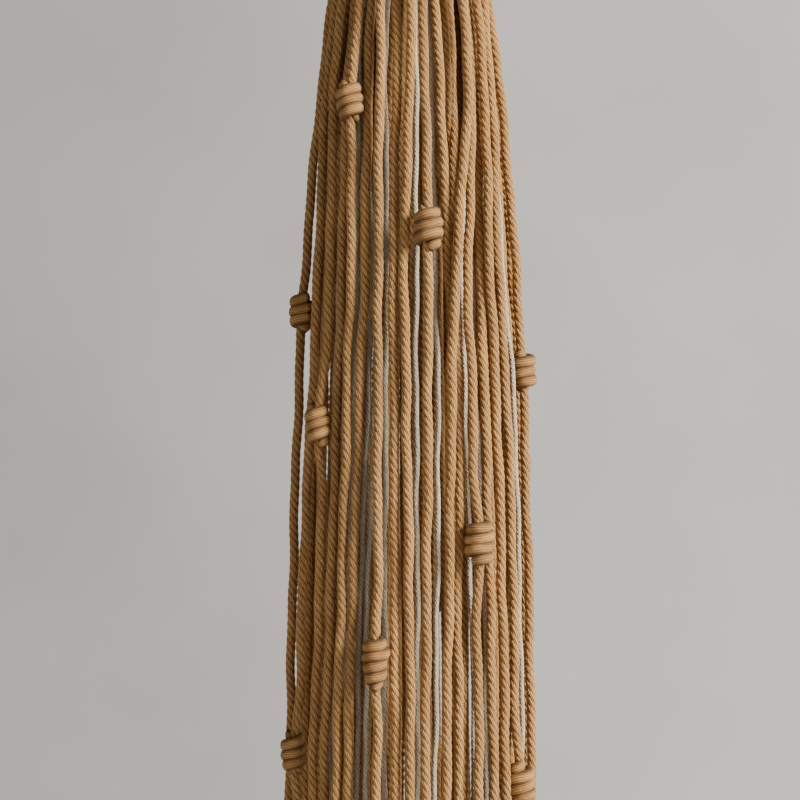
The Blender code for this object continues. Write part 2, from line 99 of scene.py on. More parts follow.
TAN = 4.0 * MM
WHITE = 2.2 * MM
PLIES = 4
LAY = 3.3  # a ply's full turn takes this many diameters
PLY_FULLNESS = 0.6  # a ply's radius as a share of the cord's: more makes shallower grooves
OPEN_YARNS = 14  # where a knot has pulled the twist open, the yarns that show round the cord
OPEN_FULLNESS = 0.27
OPEN_SHADE = 0.38  # how much painted shade an opened cord gets on its crown, from 0 to 0.5
SEAM_SHADE = 0.49  # and how much where it meets the next wrap: painted shade in the seam

# The fringe, as part.py has it: a cord's distance from the axis is its shell's radius plus the flare
OUTER_SHELL = 16.8 * MM
INNER_INSET = 4.5 * MM
WHITE_INSET = 8.1 * MM
FLARE = 34.0 * MM
FLARE_DEPTH = 155.0 * MM
FLARE_POWER = 1.3
FRINGE_LENGTH = 530.0 * MM
STATIONS = [0.0, 0.110, 0.210, 0.270, 0.350, 0.430, 0.530]  # depths below the wrap's mouth
BACK_STAND_OFF = 3.0 * MM
KNOT_CLEAR = 16.0 * MM  # how far above and below its knot a cord comes back to its shell

# Front cords: how far right of the axis each is at each station, in mm.
# An outer one also has the depth of its knot, and how far, in mm, the knot holds it out.
FRONT_OUTER = [
    ([-16.8, -32.8, -42.9, -46.2, -48.6, -49.8, -50.4], 0.2336, 0.4),
    ([-16.2, -31.0, -37.2, -40.0, -43.9, -45.1, -45.3], 0.412, 2.5),
    ([-14.5, -28.4, -32.2, -34.6, -36.6, -39.6, -40.5], 0.280, 2.8),
    ([-11.9, -20.8, -23.8, -25.4, -27.6, -30.0, -31.5], 0.151, 3.0),
    ([-8.4, -11.8, -13.0, -13.2, -13.2, -13.8, -16.0], 0.373, 3.0),
    ([-4.3, -0.4, -2.8, -2.0, -0.8, -0.4, -1.5], 0.478, 3.0),
    ([0.0, 4.4, 6.4, 6.6, 6.0, 5.6, 6.5], 0.202, 3.0),
    ([4.3, 21.2, 18.2, 16.0, 14.8, 13.6, 14.5], 0.452, 3.0),
    ([8.4, 22.0, 22.6, 24.2, 25.8, 27.0, 28.0], 0.326, 3.0),
    ([11.9, 26.6, 31.2, 34.0, 36.4, 38.0, 38.0], 0.500, 3.0),
    ([15.4, 29.6, 34.8, 38.4, 41.2, 42.0, 42.6], 0.4236, 2.4),
    ([16.8, 32.8, 42.9, 46.2, 48.6, 49.8, 50.4], 0.258, 0.4),
]
FRONT_INNER = [
    [-11.6, -23.0, -27.4, -29.4, -32.0, -34.8, -36.0],
    [-9.0, -16.0, -18.2, -20.4, -23.2, -25.4, -26.5],
    [-5.0, -5.6, -7.2, -6.8, -6.6, -6.4, -8.0],
    [0.0, 9.2, 14.4, 19.2, 18.4, 19.2, 20.0],
    [5.0, 15.2, 16.0, 15.6, 15.0, 15.0, 12.0],
    [9.0, 24.6, 27.6, 29.2, 31.4, 32.8, 33.2],
    [11.6, 27.0, 31.5, 34.8, 37.5, 38.8, 39.0],
]
FRONT_WHITE = [
    [-8.67, -22.0, -28.6, -30.6, -32.2, -32.0, -34.0],
    [-8.06, -19.4, -21.4, -22.6, -25.5, -30.0, -29.0],
    [-6.76, -15.6, -15.6, -17.0, -20.2, -21.6, -23.0],
    [-4.86, -12.4, -13.0, -14.2, -17.4, -17.8, -18.0],
    [-2.54, -9.4, -9.4, -10.0, -10.5, -10.8, -11.5],
    [0.0, 1.6, 2.0, 2.0, 2.4, 2.4, 1.0],
    [2.54, 7.2, 9.4, 10.6, 10.2, 9.2, 9.0],
    [4.86, 20.0, 20.5, 21.6, 24.0, 25.6, 23.0],
    [6.76, 21.8, 24.6, 26.0, 29.6, 30.0, 30.0],
    [8.06, 23.5, 33.0, 36.0, 38.6, 38.6, 37.0],
    [8.67, 26.7, 36.8, 41.6, 44.0, 45.5, 45.0],
]
# Cords that change shell on their way down: (shell, number) and the inset at each station, in mm
CROSSING = {
    ("outer", 8): [0.0, 4.5, 1.0, 0.0, 0.0, 0.0, 0.0],
    ("inner", 0): [4.5, 4.5, 1.5, 1.0, 1.0, 1.0, 1.5],
    ("inner", 1): [4.5, 3.5, 2.0, 1.5, 1.5, 1.5, 2.0],
    ("inner", 2): [4.5, 3.5, 2.0, 1.5, 1.5, 1.5, 2.0],
    ("inner", 4): [4.5, 9.5, 9.5, 9.5, 9.5, 9.5, 9.5],
    ("inner", 5): [4.5, 4.5, 4.5, 1.5, 1.5, 1.5, 2.0],
    ("white", 10): [8.1, 6.0, 3.0, 1.0, 1.5, 2.0, 3.0],
}
BACK_OUTER_COUNT = 12
BACK_INNER_COUNT = 7
BACK_WHITE_COUNT = 3
BACK_DRIFT = 2.5  # degrees that the back cords wander from an even spacing
BACK_OPENING = 12.0  # degrees that the back cords leave free beside the left edge cord
# Depth of each back outer cord's knot
BACK_KNOTS = [0.470, 0.300, 0.190, 0.420, 0.255, 0.355, 0.160, 0.445, 0.225, 0.385, 0.330, 0.495]
LENGTH_SPREAD = 11.0 * MM  # how much longer or shorter than FRINGE_LENGTH a cord may hang

# ---------------------------------------------------------------- camera

VIEW_TOP = 110.0 * MM  # how far below the fringe wrap the view begins
VIEW_SIDE = 320.0 * MM
CAMERA_DISTANCE = 0.90
CAMERA_X = -4.4 * MM
FRONT_Y = -30.0 * MM  # the depth at which VIEW_SIDE is measured


def make_camera():
    data = bpy.data.cameras.new("camera")
    data.sensor_width = 36.0
    data.lens = data.sensor_width * (CAMERA_DISTANCE + FRONT_Y) / VIEW_SIDE
    data.clip_start, data.clip_end = 0.05, 20.0
    camera = bpy.data.objects.new("camera", data)
    bpy.context.scene.collection.objects.link(camera)
    camera.location = (CAMERA_X, -CAMERA_DISTANCE, MOUTH_Z - VIEW_TOP - VIEW_SIDE / 2)
    camera.rotation_euler = (math.radians(90), 0, 0)
    bpy.context.scene.camera = camera


make_camera()

# ---------------------------------------------------------------- material helpers


def new_material(name):
    material = bpy.data.materials.new(name)
    material.use_nodes = True
    tree = material.node_tree
    tree.nodes.clear()
    output = tree.nodes.new("ShaderNodeOutputMaterial")
    shader = tree.nodes.new("ShaderNodeBsdfPrincipled")
    tree.links.new(shader.outputs[0], output.inputs[0])
    return material, tree, shader


def put(tree, kind, *values, **settings):
    """A node whose inputs get values in order: a socket is linked, and None is left alone."""
    made = tree.nodes.new(kind)
    for key, value in settings.items():
        setattr(made, key, value)
    for socket, value in zip(made.inputs, values):
        if isinstance(value, bpy.types.NodeSocket):
            tree.links.new(value, socket)
        elif value is not None:
            socket.default_value = value
    return made


def maths(tree, operation, *values):
    return put(tree, "ShaderNodeMath", *values, operation=operation).outputs[0]


def mixed(tree, share, low, high, blend="MIX"):
    made = tree.nodes.new("ShaderNodeMix")
    made.data_type = "RGBA"
    made.blend_type = blend
    for socket, value in ((made.inputs[0], share), (made.inputs[6], low), (made.inputs[7], high)):
        if isinstance(value, bpy.types.NodeSocket):
            tree.links.new(value, socket)
        else:
            socket.default_value = value
    return made.outputs[2]


def between(tree, value, low, high, to_low=0.0, to_high=1.0):
    made = put(tree, "ShaderNodeMapRange", value, low, high, to_low, to_high)
    made.interpolation_type = "SMOOTHSTEP"
    return made.outputs[0]


def noise_at(tree, spot, scale, detail=2.0, roughness=0.5):
    made = tree.nodes.new("ShaderNodeTexNoise")
    tree.links.new(spot, made.inputs["Vector"])
    made.inputs["Scale"].default_value = scale
    made.inputs["Detail"].default_value = detail
    made.inputs["Roughness"].default_value = roughness
    return made.outputs[0]


def noise(tree, x, y, z, detail=2.0, roughness=0.5):
    return noise_at(tree, put(tree, "ShaderNodeCombineXYZ", x, y, z).outputs[0], 1.0, detail, roughness)


def scaled_place(tree, x, y, z):
    """Object coordinates in metres, stretched along each axis."""
    place = tree.nodes.new("ShaderNodeTexCoord").outputs["Object"]
    made = put(tree, "ShaderNodeVectorMath", place, (x, y, z), operation="MULTIPLY")
    return made.outputs[0]


def bumped(tree, shader, height, distance, strength):
    bump = tree.nodes.new("ShaderNodeBump")
    bump.inputs["Strength"].default_value = strength
    bump.inputs["Distance"].default_value = distance
    tree.links.new(height, bump.inputs["Height"])
    tree.links.new(bump.outputs[0], shader.inputs["Normal"])


# ---------------------------------------------------------------- cotton


def uv_parts(tree, name):
    """The two parts of a UV map."""
    place = put(tree, "ShaderNodeUVMap", uv_map=name).outputs[0]
    return put(tree, "ShaderNodeSeparateXYZ", place).outputs[:2]


YARNS = 14  # yarns that show round a cord
YARN_TURN = -46.0  # turns a metre that the yarns make against the plies


def cotton(name, groove_shade, body, light, sheen_tint, fineness=1.0):
    """Twisted cotton, drawn by two UV maps.

    Map cord holds the way round, from 0 to 1, and metres along, but on an opened cord its first part sets
    how much painted shade the cord gets. Map yarn's first part follows a yarn.
    """
    material, tree, shader = new_material(name)
    round_, along = uv_parts(tree, "cord")
    yarn, _ = uv_parts(tree, "yarn")
    # Painted shade: crown is 1 on a ply's crown and falls to 0 in the groove between plies, where the first
    # colour paints shade.
    ply = maths(tree, "FRACT", maths(tree, "MULTIPLY", round_, float(PLIES)))
    edge = maths(tree, "ABSOLUTE", maths(tree, "SUBTRACT", ply, 0.5))
    crown = between(tree, edge, 0.5, 0.33)

    across, down = maths(tree, "MULTIPLY", round_, 6.0), maths(tree, "MULTIPLY", along, 160.0)
    wander = noise(tree, across, down, 0.0)
    lanes = maths(tree, "MULTIPLY", yarn, YARNS * fineness)
    lanes = maths(tree, "ADD", lanes, maths(tree, "MULTIPLY", wander, 1.4))
    ridge = maths(tree, "ABSOLUTE", maths(tree, "SINE", maths(tree, "MULTIPLY", lanes, math.pi)))
    across, down = maths(tree, "MULTIPLY", yarn, 95.0 * fineness), maths(tree, "MULTIPLY", along, 420.0)
    fibre = noise(tree, across, down, 0.0, 4.0, 0.65)
    slow = noise(tree, maths(tree, "MULTIPLY", along, 9.0), 0.0, 3.0)
    highlight_patch = noise(tree, maths(tree, "MULTIPLY", round_, 3.0), maths(tree, "MULTIPLY", along, 90.0), 7.0)

    # Painted shade in the grooves between plies, mixed in from the first colour.
    colour = mixed(tree, crown, groove_shade, body)
    # Painted highlight: the third colour laid in patches on the ply crowns.
    painted_highlight = maths(tree, "MULTIPLY", between(tree, highlight_patch, 0.35, 0.75), crown)
    colour = mixed(tree, maths(tree, "MULTIPLY", painted_highlight, 0.55), colour, light)
    # Painted shade in the gaps between yarns and a little painted highlight on the yarns; fluff and tone
    # are the fibres' own tone, varying at random.
    yarn_gap_shade = between(tree, ridge, 0.0, 0.7, 0.52, 1.12)
    fluff = between(tree, fibre, 0.3, 0.7, 0.70, 1.28)
    tone = between(tree, slow, 0.3, 0.7, 0.82, 1.12)
    yarn_shade_and_tone = maths(tree, "MULTIPLY", maths(tree, "MULTIPLY", yarn_gap_shade, fluff), tone)
    grey = put(tree, "ShaderNodeCombineColor", yarn_shade_and_tone, yarn_shade_and_tone, yarn_shade_and_tone).outputs[0]
    tree.links.new(mixed(tree, 1.0, colour, grey, "MULTIPLY"), shader.inputs["Base Color"])

    ridges, fibres = maths(tree, "MULTIPLY", ridge, 0.6), maths(tree, "MULTIPLY", fibre, 0.7)
    height = maths(tree, "ADD", ridges, fibres)
    bumped(tree, shader, height, 0.3 * MM, 1.0)
    tree.links.new(between(tree, fibre, 0.2, 0.8, 0.98, 0.82), shader.inputs["Roughness"])
    shader.inputs["Specular IOR Level"].default_value = 0.18
    shader.inputs["Sheen Weight"].default_value = 0.10
    shader.inputs["Sheen Roughness"].default_value = 0.45
    shader.inputs["Sheen Tint"].default_value = sheen_tint
    return material


def turned_wood():
    """Oiled pale wood, its grain along X."""
    material, tree, shader = new_material("ring_wood")
    band = noise_at(tree, scaled_place(tree, 5.0, 110.0, 110.0), 1.0, 3.0)
    streak = noise_at(tree, scaled_place(tree, 30.0, 900.0, 900.0), 1.0, 4.0, 0.6)
    pore = noise_at(tree, scaled_place(tree, 120.0, 2600.0, 2600.0), 1.0, 2.0)
    grain = maths(tree, "ADD", maths(tree, "MULTIPLY", band, 0.6), maths(tree, "MULTIPLY", streak, 0.4))
    grain = between(tree, grain, 0.36, 0.64)
    colour = mixed(tree, grain, (0.27, 0.13, 0.052, 1), (0.50, 0.29, 0.135, 1))
    colour = mixed(tree, between(tree, pore, 0.60, 0.70, 0.0, 0.6), colour, (0.12, 0.055, 0.022, 1))
    tree.links.new(colour, shader.inputs["Base Color"])
    tree.links.new(between(tree, streak, 0.2, 0.8, 0.42, 0.6), shader.inputs["Roughness"])
    bumped(tree, shader, maths(tree, "SUBTRACT", streak, pore), 0.06 * MM, 0.6)
    shader.inputs["Coat Weight"].default_value = 0.12
    shader.inputs["Coat Roughness"].default_value = 0.35
    return material


def stoneware():
    """Speckled matt glaze over thrown clay."""
    material, tree, shader = new_material("glazed_clay")
    cloud = noise_at(tree, scaled_place(tree, 22.0, 22.0, 34.0), 1.0, 3.0)
    fleck = noise_at(tree, scaled_place(tree, 620.0, 620.0, 620.0), 1.0, 1.0)
    dust = noise_at(tree, scaled_place(tree, 1500.0, 1500.0, 1500.0), 1.0, 1.0)
    throw = noise_at(tree, scaled_place(tree, 3.0, 3.0, 260.0), 1.0, 2.0)
    colour = mixed(tree, between(tree, cloud, 0.3, 0.7), (0.60, 0.56, 0.49, 1), (0.74, 0.71, 0.65, 1))
    colour = mixed(tree, between(tree, fleck, 0.66, 0.72, 0.0, 0.85), colour, (0.13, 0.085, 0.05, 1))
    colour = mixed(tree, between(tree, dust, 0.66, 0.74, 0.0, 0.5), colour, (0.30, 0.22, 0.15, 1))
    tree.links.new(colour, shader.inputs["Base Color"])
    tree.links.new(between(tree, cloud, 0.3, 0.7, 0.36, 0.52), shader.inputs["Roughness"])
    bumped(tree, shader, maths(tree, "ADD", throw, maths(tree, "MULTIPLY", cloud, 0.5)), 0.35 * MM, 0.5)
    shader.inputs["Coat Weight"].default_value = 0.15
    shader.inputs["Coat Roughness"].default_value = 0.3
    return material


# The first colour is painted shade for the grooves, the second the cotton's own colour, the third a painted
# highlight for the ply crowns.
TAN_COTTON = cotton(
    "tan_cotton",
    (0.085, 0.037, 0.011, 1),
    (0.42, 0.222, 0.079, 1),
    (0.59, 0.350, 0.148, 1),
    (1.0, 0.84, 0.62, 1),
)
# Painted shade for the grooves first, then the cotton's own colour, then a painted highlight for the ply
# crowns.
WHITE_COTTON = cotton(
    "white_cotton",
    (0.20, 0.155, 0.10, 1),
    (0.57, 0.495, 0.38, 1),
    (0.78, 0.70, 0.57, 1),
    (1.0, 0.98, 0.94, 1),
    0.6,
)
RING_WOOD = turned_wood()
GLAZED_CLAY = stoneware()

# ---------------------------------------------------------------- meshes


def piece(name, mesh, material, body=None, node=None):
    """A finished piece: its finish, the body that it rides on and the CAD node that it stands for."""
    mesh.materials.append(material)
    mesh.shade_smooth()
    made = bpy.data.objects.new(name, mesh)
    bpy.context.scene.collection.objects.link(made)
    if body:
        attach(made, body)
    if node:
        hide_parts(node)
    return made


def skin(spots, closed=False):
    """Faces over rows of points that go round, ends capped, and each corner's column and row."""
    rows, count = spots.shape[:2]
    vertices = spots.reshape(-1, 3)
    spans = rows if closed else rows - 1
    i, k = np.meshgrid(np.arange(count), np.arange(spans))
    i, k = i.ravel(), k.ravel()
    j, m = (i + 1) % count, (k + 1) % rows
    faces = np.stack([k * count + i, k * count + j, m * count + j, m * count + i], axis=1).tolist()
    columns = np.stack([i, i + 1, i + 1, i], axis=1).ravel()
    levels = np.stack([k, k, k + 1, k + 1], axis=1).ravel()
    if closed:
        return vertices, faces, columns, levels
    ring = np.arange(count)
    for row, centre in ((0, rows * count), (rows - 1, rows * count + 1)):
        ahead, behind = row * count + (ring + 1) % count, row * count + ring
        pair = (ahead, behind) if row == 0 else (behind, ahead)
        faces += np.stack([np.full(count, centre), *pair], axis=1).tolist()
        turns = (ring + 1, ring) if row == 0 else (ring, ring + 1)
        columns = np.concatenate([columns, np.stack([ring + 0.5, *turns], axis=1).ravel()])
        levels = np.concatenate([levels, np.full(3 * count, row)])
    vertices = np.vstack([vertices, spots[0].mean(axis=0)[None], spots[-1].mean(axis=0)[None]])
    return vertices, faces, columns, levels


def spaced(points, step):
    """Points an even step apart along a line."""
    along = lengths(points)
    at = np.linspace(0, along[-1], max(3, int(round(along[-1] / step)) + 1))
    return pick(points, along, at)


def lengths(points):
    return np.concatenate([[0], np.cumsum(np.linalg.norm(np.diff(points, axis=0), axis=1))])


def pick(values, along, at):
    return np.stack([np.interp(at, along, values[:, k]) for k in range(values.shape[1])], axis=1)


def smooth_path(points, step):
    """Points a step apart along a smooth curve through points."""
    p = np.array(points, float)
    ends = np.vstack([2 * p[0] - p[1], p, 2 * p[-1] - p[-2]])
    t = np.linspace(0, 1, 24, endpoint=False)[:, None]
    dense = []
    for a, b, c, d in zip(ends, ends[1:], ends[2:], ends[3:]):
        bend = (2 * a - 5 * b + 4 * c - d) * t**2 + (3 * b - a - 3 * c + d) * t**3
        dense.append(0.5 * (2 * b + (c - a) * t + bend))
    return spaced(np.vstack([*dense, p[-1:]]), step)


def tangents_of(points):
    tangents = np.gradient(points, axis=0)
    return tangents / np.linalg.norm(tangents, axis=1)[:, None]


def level_with(sides, tangents):
    """sides made square to tangents, and the third direction."""
    sides = sides - tangents * np.sum(sides * tangents, axis=1)[:, None]
    sides = sides / np.linalg.norm(sides, axis=1)[:, None]
    return sides, np.cross(tangents, sides)


def steady_sides(tangents):
    """A side direction that turns as little as it can along a line."""
    side = np.array([1.0, 0.0, 0.0]) if abs(tangents[0][0]) < 0.8 else np.array([0.0, 1.0, 0.0])
    sides = np.empty_like(tangents)
    for i, t in enumerate(tangents):
        side = side - t * side.dot(t)
        side = side / math.sqrt(side.dot(side))
        sides[i] = side
    return sides


def lobed_section(lobes, sides_per_lobe, fullness):
    """Angles and relative radii round a cord of so many plies or yarns, starting in a groove."""
    angles = 2 * math.pi * np.arange(lobes * sides_per_lobe) / (lobes * sides_per_lobe)
    off = ((angles * lobes / (2 * math.pi)) % 1.0 - 0.5) * 2 * math.pi / lobes
    middle = 1 - fullness
    radii = middle * np.cos(off) + np.sqrt(fullness**2 - (middle * np.sin(off)) ** 2)
    return angles, radii


def smooth_step(value):
    t = np.clip(value, 0, 1)
    return t * t * (3 - 2 * t)


FRAY_COUNT = 36
FRAY_LENGTH = 7.0 * MM
FRAY_SPLAY = 3.6 * MM  # how far one would spread if it were a diameter from the middle
GOLDEN_ANGLE = 2.39996  # in radians: spreads points evenly over a disc
FRAY_STRAY = 0.25 * MM


def fray(end, ahead, diameter, seed):
    """Loose yarn ends below a cut, as closed thin spikes: points, faces and each point's way round."""
    rng = np.random.default_rng(seed)
    side, up = level_with(np.array([[1.0, 0.0, 0.0]]), ahead[None])
    side, up = side[0], up[0]
    vertices, faces, turns = [], [], []
    for n in range(FRAY_COUNT):
        turn = n * GOLDEN_ANGLE
        reach = 0.42 * diameter * math.sqrt((n + 0.5) / FRAY_COUNT)
        splay = FRAY_SPLAY * reach / TAN
        out = side * math.cos(turn) + up * math.sin(turn)
        stray = side * rng.normal() + up * rng.normal()
        length = FRAY_LENGTH * rng.uniform(0.45, 1.0) * diameter / TAN
        thick = 0.11 * diameter * rng.uniform(0.7, 1.0)
        base = len(vertices)
        for step, width in ((-0.15, 1.0), (0.35, 0.9), (0.7, 0.7)):
            spread = out * (reach + splay * max(step, 0) ** 2)
            middle = end + spread + stray * FRAY_STRAY * max(step, 0) ** 2 + ahead * length * step
            for corner in range(3):
                bend = turn + corner * 2 * math.pi / 3
                edge = side * math.cos(bend) + up * math.sin(bend)
                vertices.append(middle + edge * thick * width)
                turns.append(n / FRAY_COUNT)
        tip = out * (reach + splay)
        vertices.append(end + tip + stray * FRAY_STRAY + ahead * length)
        turns.append(n / FRAY_COUNT)
        faces.append([base + 2, base + 1, base])
        for low in (base, base + 3):
            for a, b in ((0, 1), (1, 2), (2, 0)):
                faces.append([low + a, low + b, low + 3 + b, low + 3 + a])
        for a, b in ((0, 1), (1, 2), (2, 0)):
            faces.append([base + 6 + a, base + 6 + b, base + 9])
    return np.array(vertices), faces, turns


def rope(
    name,
    points,
    diameter=TAN,
    material=None,
    grain=5,
    sides=None,
    press=(1.0, 1.0),
    frayed=False,
    opened=False,
    **kept,
):
    """A closed cord along points, twisted, or opened into parallel yarns as in a tight knot.

    grain is how many sides a ply has. sides holds directions to press the section along and across.
    """
    tangents = tangents_of(points)
    sides, ups = level_with(steady_sides(tangents) if sides is None else sides, tangents)
    along = lengths(points)
    seed = sum(ord(c) * (n + 3) for n, c in enumerate(name)) % 997
    if opened:
        angles, radii = lobed_section(OPEN_YARNS, 4, OPEN_FULLNESS)
        turn = angles[None, :] + 0.15 * np.sin(along / (2.6 * MM) + seed)[:, None]
    else:
        angles, radii = lobed_section(PLIES, grain, PLY_FULLNESS)
        turn = angles[None, :] + 0.7 * seed - along[:, None] * (2 * math.pi / (LAY * diameter))
    reach = radii[None, :] * diameter / 2
    spots = (
        points[:, None, :]
        + sides[:, None, :] * (press[0] * reach * np.cos(turn))[:, :, None]
        + ups[:, None, :] * (press[1] * reach * np.sin(turn))[:, :, None]
    )
    vertices, faces, columns, levels = skin(spots)
    round_ = columns / len(angles)
    down = along[levels.astype(int)]
    if frayed:
        extra, extra_faces, turns = fray(points[-1], tangents[-1], diameter, seed)
        corners = np.array([c for face in extra_faces for c in face])
        faces = faces + [[c + len(vertices) for c in face] for face in extra_faces]
        vertices = np.vstack([vertices, extra])
        round_ = np.concatenate([round_, 0.125 + 0.02 * np.array(turns)[corners]])
        down = np.concatenate([down, along[-1] + extra[corners] @ tangents[-1]])
    mesh = bpy.data.meshes.new(name)
    mesh.from_pydata(vertices.tolist(), [], faces)
    ply, yarn = round_, round_ + YARN_TURN * down
    if opened:
        # On an opened cord, map cord paints shade: some over the crown, most in the seams against the next
        # wrap.
        ply = (0.5 + OPEN_SHADE + (SEAM_SHADE - OPEN_SHADE) * np.sin(2 * math.pi * round_) ** 2) / PLIES
        yarn = round_ * OPEN_YARNS / YARNS
    for layer_name, first in (("cord", ply), ("yarn", yarn)):
        layer = mesh.uv_layers.new(name=layer_name)
        pairs = np.stack([first, down + 0.737 * seed], axis=1)
        layer.data.foreach_set("uv", pairs.astype(np.float32).ravel())
    return piece(name, mesh, material or TAN_COTTON, **kept)


def coil(
    name,
    centre,
    axis,
    radii,
    height,
    turns,
    phase=0.0,
    hand=-1,
    tuck=0.35,
    core=0.35,
    belly=0.0,
    stray=0.0,
    **kept,
):
    """Cord wound round an axis from the top down.

    radii holds its radius at top and foot. Over tuck turns its ends dive in to a share, core, of that.
    """
    t = np.linspace(0, 1, int(turns * 48))
    turn = math.radians(phase) + hand * 2 * math.pi * turns * t
    dive = core + (1 - core) * smooth_step(np.minimum(t, 1 - t) * turns / tuck)
    spread = radii[0] + (radii[1] - radii[0]) * t
    spread = spread + belly * (1 - (2 * t - 1) ** 2) + stray * np.sin(1.37 * turn)
    axis = np.array(axis, float) / np.linalg.norm(axis)
    side = np.cross(axis, (0.0, 1.0, 0.0))
    side /= np.linalg.norm(side)
    front = np.cross(side, axis)
    out = side * np.sin(turn)[:, None] - front * np.cos(turn)[:, None]
    line = np.array(centre, float) + axis * ((0.5 - t) * height)[:, None]
    line = line + out * (spread * dive)[:, None]
    along = lengths(line)
    at = np.linspace(0, along[-1], int(along[-1] / (1.1 * MM)))
    return rope(name, pick(line, along, at), sides=pick(out, along, at), **kept)


def around(angle, radius, z):
    turn = math.radians(angle)
    return np.array((radius * math.sin(turn), -radius * math.cos(turn), z))


def tangent(angle):
    turn = math.radians(angle)
    return np.array((math.cos(turn), math.sin(turn), 0.0))


# ---------------------------------------------------------------- fringe


def eased(values, depth):
    """The value at a depth, on a smooth curve through the values at STATIONS."""
    last = len(STATIONS) - 1
    i = min(max(sum(depth > s for s in STATIONS) - 1, 0), last - 1)
    low, high = STATIONS[i], STATIONS[i + 1]
    t = min(max((depth - low) / (high - low), 0.0), 1.0)

    def slope(k):
        a, b = max(k - 1, 0), min(k + 1, last)
        return (values[b] - values[a]) / (STATIONS[b] - STATIONS[a]) * (high - low)

    return (
        values[i] * (2 * t**3 - 3 * t**2 + 1)
        + slope(i) * (t**3 - 2 * t**2 + t)
        + values[i + 1] * (3 * t**2 - 2 * t**3)
        + slope(i + 1) * (t**3 - t**2)
    )


def flare(depth):
    return FLARE * (1.0 - math.exp(-((max(depth, 0.0) / FLARE_DEPTH) ** FLARE_POWER)))


def stand_off(strand, depth):
    """How far a knotted cord is held out from its shell by its own knot."""
    if strand["knot"] is None:
        return 0.0
    return strand["stand_off"] * math.exp(-(((depth - strand["knot"]) / KNOT_CLEAR) ** 2))


def on_strand(strand, depth):
    inset = eased(strand["insets"], depth)
    radius = OUTER_SHELL + flare(depth) - inset + stand_off(strand, depth)
    return around(eased(strand["angles"], depth), radius, MOUTH_Z - depth)


def new_strand(number, angles, insets, knot=None, stand_off=0.0):
    end = FRINGE_LENGTH + LENGTH_SPREAD * math.sin(2.3 * number)
    return {"angles": angles, "insets": insets, "knot": knot, "stand_off": stand_off, "end": end}


def front_angles(offsets, insets):
    """Angles that put a cord that far right of the axis at each station."""
    angles = []
    for offset, inset, depth in zip(offsets, insets, STATIONS):
        share = offset * MM / (OUTER_SHELL + flare(depth) - inset)
        angles.append(math.degrees(math.asin(min(max(share, -1.0), 1.0))))
    return angles


def back_angles(first, last, count, number):
    """Angles of back strand number, of count spaced evenly between two front ones, with some drift."""
    share = (number + 1) / (count + 1)
    angle = first + (last - BACK_OPENING - first) * share
    drift = BACK_DRIFT * math.sin(2.1 * number + 0.6)
    drifts = (drift / 2, drift, drift / 2, -drift / 2, -drift, 0)
    return [first + (last - first) * share, *[angle + d for d in drifts]]


def shell(name, front, inset, back_count, knotted):
    """The strands of one shell in order round the axis, the front ones first."""
    strands = []
    for number, entry in enumerate(front):
        offsets, knot, held = entry if knotted else (entry, None, 0.0)
        insets = [inset] * len(STATIONS)
        if (name, number) in CROSSING:
            insets = [value * MM for value in CROSSING[name, number]]
        strands.append(new_strand(number, front_angles(offsets, insets), insets, knot, held * MM))
    first, last = strands[-1]["angles"][0], strands[0]["angles"][0] + 360.0
    for number in range(back_count):
        angles = back_angles(first, last, back_count, number)
        knot = BACK_KNOTS[number] if knotted else None
        insets = [inset] * len(STATIONS)
        strands.append(new_strand(len(front) + number, angles, insets, knot, BACK_STAND_OFF))
    return strands


HIDDEN_TOP = 18.0 * MM  # how far a strand goes up inside the wrap
FRINGE_STEP = 1.2 * MM

# Barrel knots of the front outer cords: turns, radius of the wraps at top and foot, lean and way round
FRONT_KNOTS = [
    (3.7, 3.3, 3.2, -6, 140),
    (3.9, 3.5, 3.3, -8, 30),
    (3.9, 3.4, 3.3, -12, 80),
    (3.9, 3.6, 3.5, -12, 0),
    (4.8, 4.2, 1.9, 2, 140),
    (3.9, 3.6, 3.4, 5, 200),
    (4.0, 3.6, 4.3, -5, 50),
    (4.0, 3.6, 3.5, -6, 300),
    (4.2, 3.9, 3.8, 3, 110),
    (3.8, 3.7, 3.5, 4, 20),
    (4.0, 3.9, 3.8, -6, 250),
    (3.8, 3.6, 3.6, 0, 330),
]
WRAP_PITCH = 4.55 * MM


def tie_knot(name, strand, shape):
    """The barrel knot on a strand: the cord wound round itself."""
    turns, top_radius, foot_radius, lean, phase = shape
    depth = strand["knot"]
    axis = on_strand(strand, depth - 8 * MM) - on_strand(strand, depth + 8 * MM)
    axis = axis / np.linalg.norm(axis) + np.array([math.sin(math.radians(lean)), 0, 0])
    return coil(
        name,
        on_strand(strand, depth),
        axis,
        (top_radius * MM, foot_radius * MM),
        (turns - 0.5) * WRAP_PITCH,
        turns,
        phase=phase,
        hand=1,
        tuck=0.8,
        core=0.15,
        belly=0.3 * MM,
        stray=0.3 * MM,
        press=(0.9, 1.2),
        opened=True,
        body="fringe",
    )


WAVER = 0.45 * MM  # how far a hanging cord strays from a smooth curve


def strand_line(strand, step, seed):
    depths = np.array([*np.arange(-HIDDEN_TOP, strand["end"], 2.0 * MM), strand["end"]])
    points = np.array([on_strand(strand, d) for d in depths])
    free = smooth_step(depths / 0.05)
    slow, quick = np.sin(depths * 97 + 1.7 * seed), np.sin(depths * 211 + 2.9 * seed)
    points[:, 0] += WAVER * free * (slow + 0.6 * quick) / 1.6
    points[:, 1] += WAVER * free * np.sin(depths * 83 + 4.1 * seed)
    return spaced(points, step)


